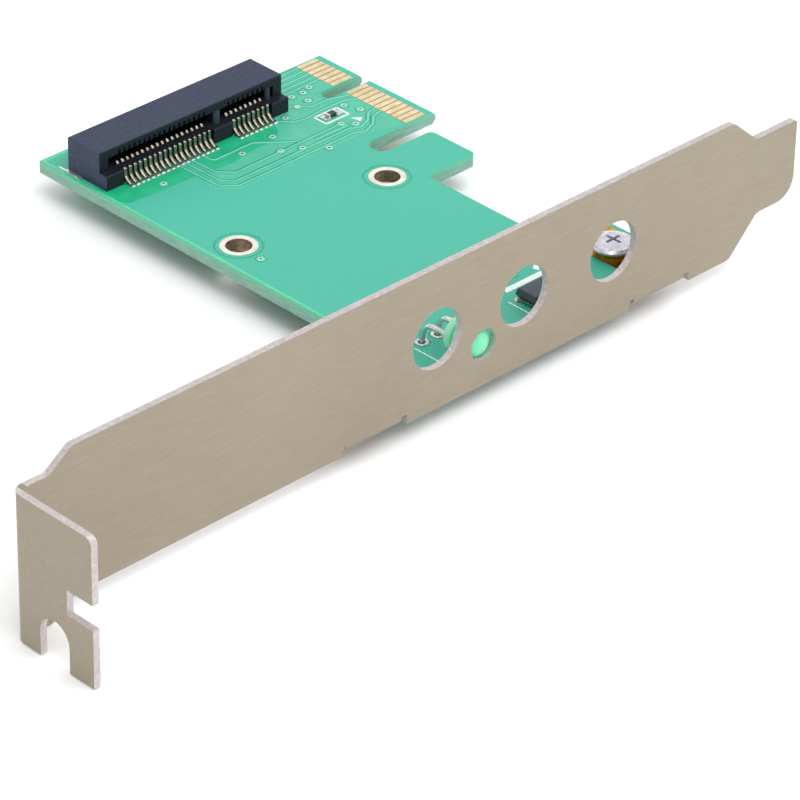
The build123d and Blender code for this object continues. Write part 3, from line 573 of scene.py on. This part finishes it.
for count, x in (("First group", first), ("Second group", first + 17.6)):
    row = add(tree, "GeometryNodeMeshLine", {"Count": inputs[count], "Offset": step.outputs[0],
                                             "Start Location": metres(x, mouth - 0.2, TOP + 3.79)})
    copies = add(tree, "GeometryNodeInstanceOnPoints",
                 {"Points": row.outputs[0], "Instance": groove.outputs[0]})
    comb = add(tree, "GeometryNodeRealizeInstances", {0: copies.outputs[0]})
    tree.links.new(comb.outputs[0], carved.inputs["Mesh 2"])
moulding = grow("socket_moulding", moulding, tree, carved.outputs[0], sizes, socket_nylon)
bpy.data.objects.remove(pocket_object)
place_piece("socket_moulding", moulding, socket_nylon, "socket_plastic", "socket_housing")
work = bmesh.new()
turned(work, [(0, TOP + 1.9), (0.5, TOP + 1.9), (0.5, TOP + 3.6), (0, TOP + 3.6)], (key_x, mouth + 0.12, 0),
       "Z", 24)
turned(work, [(0, TOP + 1.9), (0.36, TOP + 1.9), (0.36, TOP + 3.6), (0, TOP + 3.6)],
       (90.55, mouth + 0.3, 0), "Z", 24)
place_piece("socket_guide_posts", mesh_from(work, "socket_guide_posts"), case_epoxy, "socket_plastic")


def contact_rows(name, path, node):
    """Bent contacts at one pitch in two groups, each along the same path."""
    sizes = {"Width": 0.00044, "Height": 0.00018, "Bend radius": 0.00016, "Pitch": 0.0008, "First group": 18,
             "Second group": 8, "Key step": 0.0176}
    tree, inputs, solid, seed = swept_strip(name, [path], sizes)
    step = add(tree, "ShaderNodeCombineXYZ", {0: inputs["Pitch"]})
    key = add(tree, "ShaderNodeCombineXYZ", {0: inputs["Key step"]})
    left = add(tree, "GeometryNodeMeshLine", {"Count": inputs["First group"], "Offset": step.outputs[0]})
    right = add(tree, "GeometryNodeMeshLine",
                {"Count": inputs["Second group"], "Start Location": key.outputs[0],
                                               "Offset": step.outputs[0]})
    places = add(tree, "GeometryNodeJoinGeometry", {0: left.outputs[0]})
    tree.links.new(right.outputs[0], places.inputs[0])
    copies = add(tree, "GeometryNodeInstanceOnPoints", {"Points": places.outputs[0], "Instance": solid})
    mesh = grow(name, seed, tree, copies.outputs[0], sizes, contact_tin)
    place_piece(name, mesh, contact_tin, "contact_metal", node)


leg = front + 0.28
contact_rows("front_contacts", [(first, leg - 1.35, TOP + 0.12), (first, leg - 1.05, TOP + 0.12),
                                (first, leg - 0.45, TOP + 0.46), (first, leg - 0.05, TOP + 0.86),
                                (first, leg, TOP + 1.2), (first, leg, TOP + 1.93),
                                (first, leg + 0.3, TOP + 1.93), (first, mouth + 0.1, TOP + 1.75),
                                (first, mouth + 0.55, TOP + 2.32), (first, mouth + 2.6, TOP + 1.9)],
             "socket_contacts_lower")
contact_rows("back_contacts", [(first, mouth + 1.3, TOP + 3.4), (first, mouth + 1.9, TOP + 3.2),
                               (first, mouth + 3.1, TOP + 3.8), (first, rear - 0.2, TOP + 3.8),
                               (first, rear + 0.13, TOP + 3.5), (first, rear + 0.13, TOP + 0.7),
                               (first, rear + 0.5, TOP + 0.12), (first, rear + 1.2, TOP + 0.12)],
             "socket_contacts_upper")
work = bmesh.new()
for i in contact_numbers:
    x = first + contact_pitch * i
    for y0, y1 in ((leg - 1.55, leg - 0.9), (rear + 0.4, rear + 1.35)):
        for point in block(work, x - 0.27, x + 0.27, y0, y1, TOP - 0.01, TOP + 0.1):
            if point.co.z > metres(0, 0, TOP + 0.05).z:
                point.co.x += (metres(x, 0, 0).x - point.co.x) * 0.3
                point.co.y += (metres(0, (y0 + y1) / 2, 0).y - point.co.y) * 0.25
place_piece("foot_solder", mesh_from(work, "foot_solder"), solder, "solder")
work = bmesh.new()
block(work, middle - 15.35, middle - 14.7, 62.9, 65.6, TOP - 0.01, TOP + 0.18)
bmesh.ops.bevel(work, geom=work.edges[:], offset=0.00006, segments=2, affect="EDGES")
place_piece("left_lock_foot", mesh_from(work, "left_lock_foot"), solder, "contact_metal",
            "socket_hold_down_left")

# Lamp: a domed lens behind the bracket's opening, with two leads that arch down to their pads
lens_x, lens_z, lens_radius, rim_radius = 68.05, 5.2, 1.78, 2.05
lead_xs = (66.78, 69.32)
pad_y = 8.5
work = bmesh.new()
turns = [math.radians(degrees) for degrees in range(0, 91, 9)]
dome = [(lens_radius * math.sin(a), 1.35 - 1.3 * math.cos(a)) for a in turns]
turned(work, dome + [(lens_radius, 3.35), (rim_radius, 3.4), (rim_radius, 4.35), (1.95, 4.42), (0, 4.42)],
       (lens_x, 0, lens_z),
       "Y", 64)
place_piece("domed_lens", mesh_from(work, "domed_lens"), lens_epoxy, "lens_plastic", "lamp_lens")
for name, node, x in (("arched_lead_left", "lamp_lead_left", lead_xs[0]),
                      ("arched_lead_right", "lamp_lead_right", lead_xs[1])):
    strips(name, [[(x, 4.3, 5.12), (x, 6.3, 5.15), (x, 7.5, 5.05), (x, 8.3, 4.1), (x, 8.5, 3.2),
                   (x, 8.5, -0.2)]],
           0.5, 0.5, lead_tin, "contact_metal", node, bend=0.9)
lead_holes = [(x, pad_y) for x in lead_xs]
flat_rings("lamp_pad_gaps", lead_holes, TOP + 0.004, 0.95, 0.3, 0.02, mask_gap, "board_green")
flat_rings("lamp_pads", lead_holes, TOP + 0.02, 0.66, 0.42, 0.09, solder, "solder")

# Moulded capacitor behind the middle opening, held above the board by its two clips, and solder lands
work = bmesh.new()
levels = []
for inset, z in ((0.22, 3.0), (0.0, 3.45), (0.2, 4.1), (0.3, 4.16)):
    x0, x1, y0, y1 = 81.0 + inset, 87.0 - inset, 4.4 + inset, 7.7 - inset
    levels.append([work.verts.new(metres(x, y, z)) for x, y in ((x0, y0), (x1, y0), (x1, y1), (x0, y1))])
for a, b in zip(levels, levels[1:]):
    for i in range(4):
        work.faces.new((a[i], a[(i + 1) % 4], b[(i + 1) % 4], b[i]))
work.faces.new(list(reversed(levels[0])))
work.faces.new(levels[-1])
place_piece("capacitor_case", mesh_from(work, "capacitor_case"), case_epoxy, "moulded_plastic",
            "capacitor_body")
work = bmesh.new()
for x0, x1, foot0, foot1 in ((81.08, 82.3, 81.5, 82.3), (85.7, 86.92, 85.7, 86.5)):
    block(work, x0, x1, 4.8, 7.2, 2.75, 3.02)
    block(work, foot0, foot1, 4.9, 7.1, TOP, 2.76)
place_piece("capacitor_clips", mesh_from(work, "capacitor_clips"), contact_tin, "contact_metal",
            "capacitor_terminals")
work = bmesh.new()
turned(work, [(0.42, 0), (0.36, 0.22), (0.2, 0.38), (0, 0.42)], (81.05, 7.5, TOP), "Z", 20)
for x0, x1 in ((94.35, 95.3), (96.4, 97.35)):
    block(work, x0, x1, 53.4, 54.6, TOP - 0.01, TOP + 0.16)
place_piece("chip_lands", mesh_from(work, "chip_lands"), solder, "solder")

# Tab screws: domed zinc head with a cross recess over a brass collar, on a gold plated land
place_piece("screw_lands", mesh_from(slabs([
    [(94.87, 3.0), (101.4, 3.0), (101.4, 12.4), (94.87, 12.4)],
    [(47.0, 3.0), (53.53, 3.0), (53.53, 12.4), (47.0, 12.4)],
], TOP - 0.02, TOP + 0.03), "screw_lands"), land_gold, "gold_plate")
tab_holes = [(51.2, 7.6), (97.2, 7.6)]
heads = bmesh.new()
crosses = bmesh.new()
collars = bmesh.new()
for x, y in tab_holes:
    turned(heads, [(0, TOP + 0.95), (2.55, TOP + 0.95), (2.75, TOP + 1.1), (2.72, TOP + 1.3),
                   (2.4, TOP + 1.6),
                   (1.7, TOP + 1.82), (0.9, TOP + 1.88), (0, TOP + 1.9)], (x, y, 0), "Z", 64)
    for a, b in ((1.5, 0.28), (0.28, 1.5)):
        for point in block(crosses, x - a, x + a, y - b, y + b, TOP + 1.1, TOP + 2.6):
            if point.co.z < metres(0, 0, TOP + 1.5).z:
                point.co.x += (metres(x, 0, 0).x - point.co.x) * 0.45
                point.co.y += (metres(0, y, 0).y - point.co.y) * 0.45
    turned(collars, [(0, -0.6), (1.3, -0.6), (1.45, -0.5), (1.45, TOP), (2.3, TOP + 0.02), (2.2, TOP + 0.3),
                     (2.05, TOP + 0.95), (0, TOP + 0.95)], (x, y, 0), "Z", 48)
cross_object = bpy.data.objects.new("crosses", mesh_from(crosses, "crosses"))
head_object = bpy.data.objects.new("heads", mesh_from(heads, "heads"))
for item in (cross_object, head_object):
    bpy.context.scene.collection.objects.link(item)
recess = head_object.modifiers.new("recess", "BOOLEAN")
recess.object = cross_object
recess.solver = "EXACT"
recess.use_self = True
cut_heads = bpy.data.meshes.new_from_object(head_object.evaluated_get(bpy.context.evaluated_depsgraph_get()))
for item in (cross_object, head_object):
    bpy.data.objects.remove(item)
place_piece("screw_heads", cut_heads, head_zinc, "screw_steel", "tab_screws")
place_piece("screw_collars", mesh_from(collars, "screw_collars"), collar_brass, "screw_steel")

# Floor, world, light and camera
work = bmesh.new()
bmesh.ops.create_grid(work, x_segments=1, y_segments=1, size=4.0)
floor = bpy.data.objects.new("floor", mesh_from(work, "floor"))
bpy.context.scene.collection.objects.link(floor)
floor.location.z = -0.0002
floor.data.materials.append(white_paper)

scene = bpy.context.scene
scene.view_settings.view_transform = "Standard"
world = bpy.data.worlds.new("studio")
scene.world = world
world.use_nodes = True
world.node_tree.nodes["Background"].inputs[0].default_value = (1.0, 1.0, 1.0, 1.0)
sky = world.node_tree
direction = add(sky, "ShaderNodeSeparateXYZ", {0: add(sky, "ShaderNodeTexCoord").outputs["Generated"]})
from_left = add(sky, "ShaderNodeMapRange", {0: direction.outputs[0], 1: -0.9, 2: 0.2, 3: 0.66, 4: 0.98})
sky.links.new(from_left.outputs[0], sky.nodes["Background"].inputs[1])


def area_light(name, place, size, power):
    """A square soft light that faces the card."""
    data = bpy.data.lights.new(name, "AREA")
    data.size = size
    data.energy = power
    lamp = bpy.data.objects.new(name, data)
    bpy.context.scene.collection.objects.link(lamp)
    lamp.location = place
    lamp.rotation_euler = (-Vector(place)).to_track_quat("-Z", "Y").to_euler()


area_light("key", (-0.12, -0.4, 0.95), 0.7, 5.0)
area_light("fill", (0.7, -0.8, 0.5), 0.9, 2.0)

camera_data = bpy.data.cameras.new("camera")
camera_data.sensor_width = 36.0
camera_data.lens = 204.8652
camera_data.clip_start = 0.01
camera_data.clip_end = 20.0
camera = bpy.data.objects.new("camera", camera_data)
scene.collection.objects.link(camera)
right = Vector((0.716551, -0.697347, 0.016182))
up = Vector((0.362495, 0.392098, 0.845492))
back = Vector((-0.595946, -0.599972, 0.533742))
axes = Matrix((right, up, back)).transposed().to_4x4()
camera.matrix_world = Matrix.Translation((-0.3045353, -0.3304651, 0.2742441)) @ axes
scene.camera = camera
